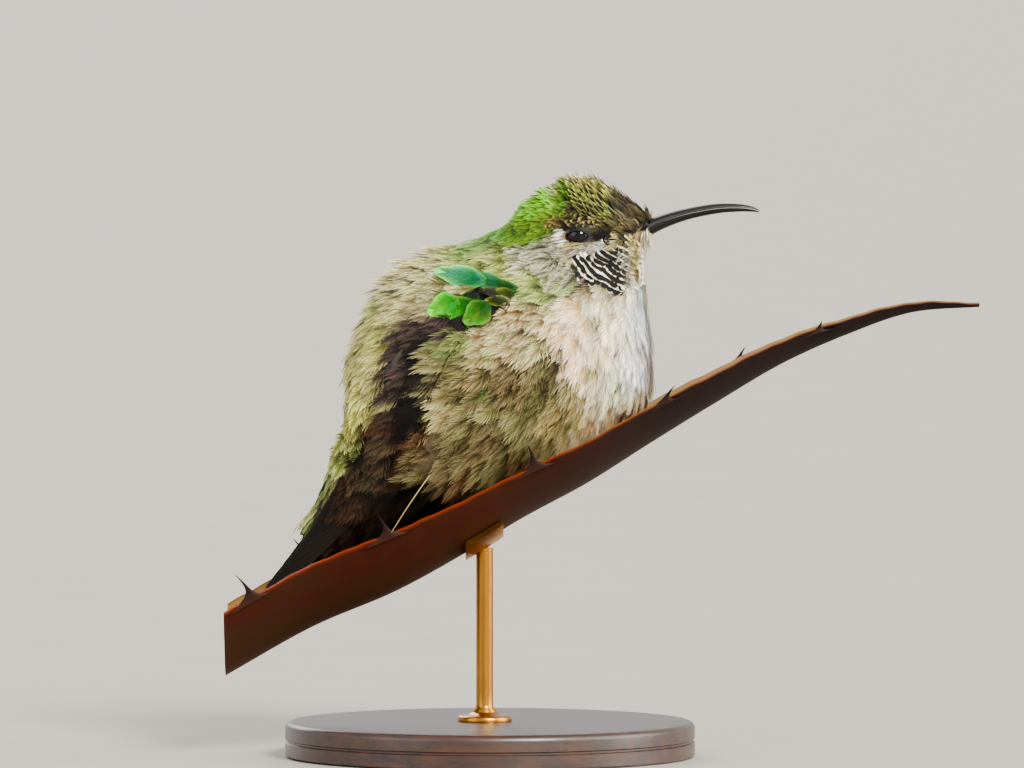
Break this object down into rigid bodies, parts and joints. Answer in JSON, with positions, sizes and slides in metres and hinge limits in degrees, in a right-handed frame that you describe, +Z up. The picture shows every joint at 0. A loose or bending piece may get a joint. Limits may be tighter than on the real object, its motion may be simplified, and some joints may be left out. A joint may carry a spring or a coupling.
{
  "type": "hummingbird",
  "caption": "Life-size still model of a fluffed-up hillstar hummingbird sitting in the channel of a thorny leaf, which a short rod holds above a round wooden base.",
  "frame": {"origin": "centre of the flat underside of the stand's base", "axes": "+Z up, +X the way the bird faces and the leaf climbs, -Y the bird's right side"},
  "size_m": [0.1396, 0.076, 0.1075],
  "materials": {
    "crown_feathers": "scaly bronze-green feathers",
    "breast_feathers": "loose buff and cream down",
    "back_feathers": "grey-green scaled feathers",
    "flight_feathers": "dark brown vanes",
    "bill": "satin black horn",
    "eye": "wet and glossy",
    "foot_skin": "scaly dark skin",
    "claw": "smooth dark horn",
    "leaf": "dry fibrous leaf, red-brown with a bright edge",
    "stand_wood": "waxed dark wood",
    "stand_brass": "brushed"
  },
  "bodies": {
    "root": {"head": "crown_feathers", "neck": "breast_feathers", "trunk": "breast_feathers", "rump": "back_feathers", "tail": "flight_feathers", "wing_right": "flight_feathers", "wing_left": "flight_feathers", "bill_upper": "bill", "bill_lower": "bill", "eye_right": "eye", "eye_left": "eye", "leg_right": "breast_feathers", "leg_left": "breast_feathers", "foot_right": "foot_skin", "foot_left": "foot_skin", "claw_right_1": "claw", "claw_right_2": "claw", "claw_right_3": "claw", "claw_right_4": "claw", "claw_left_1": "claw", "claw_left_2": "claw", "claw_left_3": "claw", "claw_left_4": "claw", "leaf": "leaf", "stand_base": "stand_wood", "stand_rod": "stand_brass"}
  },
  "joints": []
}
